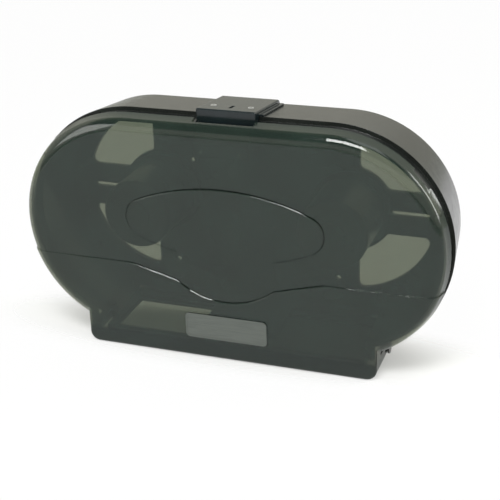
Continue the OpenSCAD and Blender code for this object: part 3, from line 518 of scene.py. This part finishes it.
class DISPENSER_OT_cover(bpy.types.Operator):
    """See-through cover"""

    bl_idname = "dispenser.cover"
    bl_label = "Cover"

    def execute(self, context):
        looks = context.scene.dispenser_smoke

        def shape(work):
            chamfer_crests(work, looks.crest)
            shade_steps(work, looks.foot)

        mat = smoke(looks)
        polished_copy("cover_shell", "cover_smoke", "cover", mat, looks.edge, shape)
        return {"FINISHED"}


class DISPENSER_OT_metal(bpy.types.Operator):
    """Screws, tear bars, latch and spring"""

    bl_idname = "dispenser.metal"
    bl_label = "Metal"

    def execute(self, context):
        bright = context.scene.dispenser_metal.steel
        screws = ["frame_screws", "post_screws", "spindle_screws", "lock_screws", "catch_screws"]
        dress(screws, steel("screw_zinc", bright, rough=0.28))
        dress(["tear_bar_left", "tear_bar_right"], steel("tear_steel", bright, stretch=(0.04, 1, 1)))
        latch = steel("latch_steel", scaled(bright, 0.85), stretch=(1, 0.06, 1), rough=0.34)
        dress(["latch_bolt", "detent_spring"], latch)
        return {"FINISHED"}


class DISPENSER_OT_label(bpy.types.Operator):
    """Bare label plate"""

    bl_idname = "dispenser.label"
    bl_label = "Label plate"

    def execute(self, context):
        foil = context.scene.dispenser_metal.label
        dress(["label_plate"], steel("label_foil", foil, stretch=(0.05, 1, 1), rough=0.36))
        return {"FINISHED"}


class DISPENSER_OT_stage(bpy.types.Operator):
    """Floor, lamps, world and camera"""

    bl_idname = "dispenser.stage"
    bl_label = "Stage"

    def execute(self, context):
        settings = context.scene.dispenser_stage
        set_floor(settings)
        set_world(context.scene)
        set_lamps()
        set_camera(context.scene, settings)
        context.scene.view_settings.view_transform = "Standard"
        return {"FINISHED"}


# ---------------------------------------------------------------------------------- stage

FLOOR_REACH = 40.0  # metres from the middle to a side
FLOOR_GAP = 0.0005  # metres between the dispenser and the floor
SHADE_START, SHADE_END = 0.6, 1.6  # where the shade fades, in half sizes of the dispenser
SHADE_GLOW = 0.15  # share of plain white within the shade
TABLE = 1.6  # metres round the dispenser within which gloss mirrors the floor's white
TABLE_FADE = 0.15  # metres over which that fades, to each side

# Shades of the surroundings from straight down and behind, 0, to straight up and in front, 1.
WALLS = (
    (0.41, (0.54, 0.53, 0.46)),
    (0.45, (0.66, 0.65, 0.57)),
    (0.50, (0.95, 0.94, 0.84)),
    (0.81, (1.00, 1.00, 0.92)),
    (0.85, (0.28, 0.31, 0.28)),
)
WALLS_START = (0.52, 0.51, 0.44)
WALLS_END = (0.28, 0.31, 0.28)
WALLS_AXIS = (0, -0.3, 0.95)
HORIZON_FADE = 0.02  # how far below the horizon gloss starts to see plain white


def set_floor(settings):
    """A plain pale floor just under the dispenser."""
    work = bmesh.new()
    bmesh.ops.create_grid(work, x_segments=1, y_segments=1, size=FLOOR_REACH)
    bmesh.ops.translate(work, verts=work.verts, vec=(0, 0, CAD_LOW[2] - FLOOR_GAP))
    mesh = bpy.data.meshes.new("floor")
    work.to_mesh(mesh)
    work.free()
    floor = bpy.data.objects.new("floor", mesh)
    bpy.context.scene.collection.objects.link(floor)
    mat, shader, where = new_finish("floor_paper")
    drift = noise(mat, where, size=0.4, detail=2.0)
    tone = ramp(mat, drift, scaled(settings.floor, 0.99), scaled(settings.floor, 1.01))
    link(mat, tone, shader.inputs["Base Color"])
    shader.inputs["Roughness"].default_value = 0.9
    shader.inputs["Specular IOR Level"].default_value = 0.2
    whiten(mat, shader, where, settings.white)
    mesh.materials.append(mat)


def light_kind(owner):
    """Whether a ray comes from the camera, from gloss and through glass."""
    rays = new_node(owner, "ShaderNodeLightPath").outputs
    return rays["Is Camera Ray"], rays["Is Glossy Ray"], rays["Is Transmission Ray"]


def whiten(mat, shader, where, white):
    """Shows the floor as plain white, but for the shade round the dispenser.

    The eye looks through it to the white world, so that an open cover still shows below it. Gloss sees a
    white glow. From beneath, the floor is clear, so that it shades nothing that hangs below it.
    """
    half_x, half_y = ((high - low) / 2 for low, high in zip(CAD_LOW[:2], CAD_HIGH[:2]))
    middle_y = (CAD_LOW[1] + CAD_HIGH[1]) / 2
    place = new_node(
        mat,
        "ShaderNodeMapping",
        {"Location": (0, -middle_y / half_y, 0), "Scale": (1 / half_x, 1 / half_y, 0)},
    )
    link(mat, where, place.inputs["Vector"])
    around = distance_of(mat, place.outputs["Vector"])
    away = mapped(mat, around, (SHADE_START, SHADE_END), SHADE_GLOW, white, "SMOOTHSTEP")
    near = mapped(mat, distance_of(mat, where), (TABLE + TABLE_FADE, TABLE - TABLE_FADE))

    camera, gloss, glass = light_kind(mat)
    mirrored = maths(mat, "MULTIPLY", maths(mat, "MAXIMUM", gloss, glass), near)
    seen = maths(mat, "MAXIMUM", camera, mirrored)
    glow = new_node(mat, "ShaderNodeEmission").outputs["Emission"]
    clear = new_node(mat, "ShaderNodeBsdfTransparent").outputs["BSDF"]
    pale = blended(mat, camera, glow, clear)
    above = blended(mat, maths(mat, "MULTIPLY", seen, away), shader.outputs["BSDF"], pale)
    beneath = new_node(mat, "ShaderNodeNewGeometry").outputs["Backfacing"]
    surface = blended(mat, beneath, above, clear)
    link(mat, surface, mat.node_tree.nodes["Material Output"].inputs["Surface"])


def set_world(scene):
    """Pale warm walls, brighter higher up, and a dimmer ceiling in front. The eye sees plain white."""
    world = bpy.data.worlds.new("surroundings")
    scene.world = world
    world.use_nodes = True
    direction = new_node(world, "ShaderNodeTexCoord").outputs["Generated"]
    height = new_node(world, "ShaderNodeVectorMath", operation="DOT_PRODUCT")
    height.inputs[1].default_value = WALLS_AXIS
    link(world, direction, height.inputs[0])
    sky = new_node(world, "ShaderNodeValToRGB")
    stops = sky.color_ramp.elements
    stops[0].color = (*WALLS_START, 1.0)
    stops[1].color = (*WALLS_END, 1.0)
    for position, rgb in WALLS:
        stops.new(position).color = (*rgb, 1.0)
    link(world, mapped(world, height.outputs["Value"], (-1.0, 1.0)), sky.inputs["Fac"])
    walls = world.node_tree.nodes["Background"]
    link(world, sky.outputs["Color"], walls.inputs["Color"])

    below = mapped(world, height_of(world, direction), (0.0, -HORIZON_FADE))
    camera, gloss, glass = light_kind(world)
    mirrored = maths(world, "MAXIMUM", glass, maths(world, "MULTIPLY", gloss, below))
    seen = maths(world, "MAXIMUM", camera, mirrored)
    white = new_node(world, "ShaderNodeBackground", {"Color": (1.0, 1.0, 1.0, 1.0)})
    surface = blended(world, seen, walls.outputs["Background"], white.outputs["Background"])
    link(world, surface, world.node_tree.nodes["World Output"].inputs["Surface"])


def add_lamp(name, place, target, size, watts, along=(0, 0, 1)):
    """A soft rectangular lamp that faces a point, with its height as near as can be to a direction."""
    data = bpy.data.lights.new(name, "AREA")
    data.shape = "RECTANGLE"
    data.size, data.size_y = size
    data.energy = watts
    lamp = bpy.data.objects.new(name, data)
    bpy.context.scene.collection.objects.link(lamp)
    back = (Vector(place) - Vector(target)).normalized()
    side = Vector(along).cross(back).normalized()
    turn = Matrix((side, back.cross(side), back)).transposed().to_4x4()
    lamp.matrix_world = Matrix.Translation(place) @ turn


def set_lamps():
    """A window above in front, a soft panel above, a fill on the left and a panel behind on the right."""
    middle = (0, -0.05, 0)
    crown = (0.1, -0.114, 0.124)  # where the cover's rounded edge runs along its top
    add_lamp("ceiling_window", (0.085, -0.88, 1.08), crown, size=(0.42, 0.55), watts=13, along=(1, 0, 0))
    add_lamp("overhead", (0.45, 0.1, 1.4), middle, size=(0.9, 0.7), watts=4)
    add_lamp("left_fill", (-1.4, -1.3, 0.7), middle, size=(0.9, 0.9), watts=9)
    add_lamp("right_panel", (1.3, 0.5, 0.5), (0.1, 0, 0), size=(0.5, 0.9), watts=9)


def set_camera(scene, settings):
    """Camera at the given turn, height, roll and distance about its target."""
    data = bpy.data.cameras.new("camera")
    data.sensor_width = 36
    data.lens = settings.lens
    camera = bpy.data.objects.new("camera", data)
    scene.collection.objects.link(camera)
    azimuth, elevation, roll = settings.azimuth, settings.elevation, settings.roll
    level = Vector((math.sin(azimuth), -math.cos(azimuth), 0)) * math.cos(elevation)
    out = level + Vector((0, 0, math.sin(elevation)))
    right = Vector((0, 0, 1)).cross(out).normalized()
    up = out.cross(right)
    right_rolled = math.cos(roll) * right + math.sin(roll) * up
    up_rolled = -math.sin(roll) * right + math.cos(roll) * up
    turn = Matrix((right_rolled, up_rolled, out)).transposed().to_4x4()
    camera.matrix_world = Matrix.Translation(Vector(settings.target) + out * settings.distance) @ turn
    scene.camera = camera


# ---------------------------------------------------------------------------------- panel and run

GROUPS = (
    ("dispenser_smoke", SmokeSettings),
    ("dispenser_plastic", PlasticSettings),
    ("dispenser_metal", MetalSettings),
    ("dispenser_stage", StageSettings),
)
OPERATORS = (
    DISPENSER_OT_housing,
    DISPENSER_OT_inner,
    DISPENSER_OT_lock,
    DISPENSER_OT_cover,
    DISPENSER_OT_metal,
    DISPENSER_OT_label,
    DISPENSER_OT_stage,
)


class DISPENSER_PT_looks(bpy.types.Panel):
    """Lists the pieces and their settings"""

    bl_idname = "DISPENSER_PT_looks"
    bl_label = "Dispenser looks"
    bl_space_type = "VIEW_3D"
    bl_region_type = "UI"
    bl_category = "Dispenser"

    def draw(self, context):
        for operator in OPERATORS:
            self.layout.operator(operator.bl_idname)
        for name, group in GROUPS:
            box = self.layout.box()
            for key in group.__annotations__:
                box.prop(getattr(context.scene, name), key)


def register():
    """Registers the classes and their settings."""
    for name, group in GROUPS:
        bpy.utils.register_class(group)
        setattr(bpy.types.Scene, name, bpy.props.PointerProperty(type=group))
    for cls in (*OPERATORS, DISPENSER_PT_looks):
        bpy.utils.register_class(cls)


def unregister():
    """Removes them again."""
    for cls in reversed((*OPERATORS, DISPENSER_PT_looks)):
        bpy.utils.unregister_class(cls)
    for name, group in GROUPS:
        delattr(bpy.types.Scene, name)
        bpy.utils.unregister_class(group)


def main():
    """Makes every piece in order."""
    register()
    for operator in OPERATORS:
        group, name = operator.bl_idname.split(".")
        getattr(getattr(bpy.ops, group), name)()


if __name__ == "__main__":
    main()
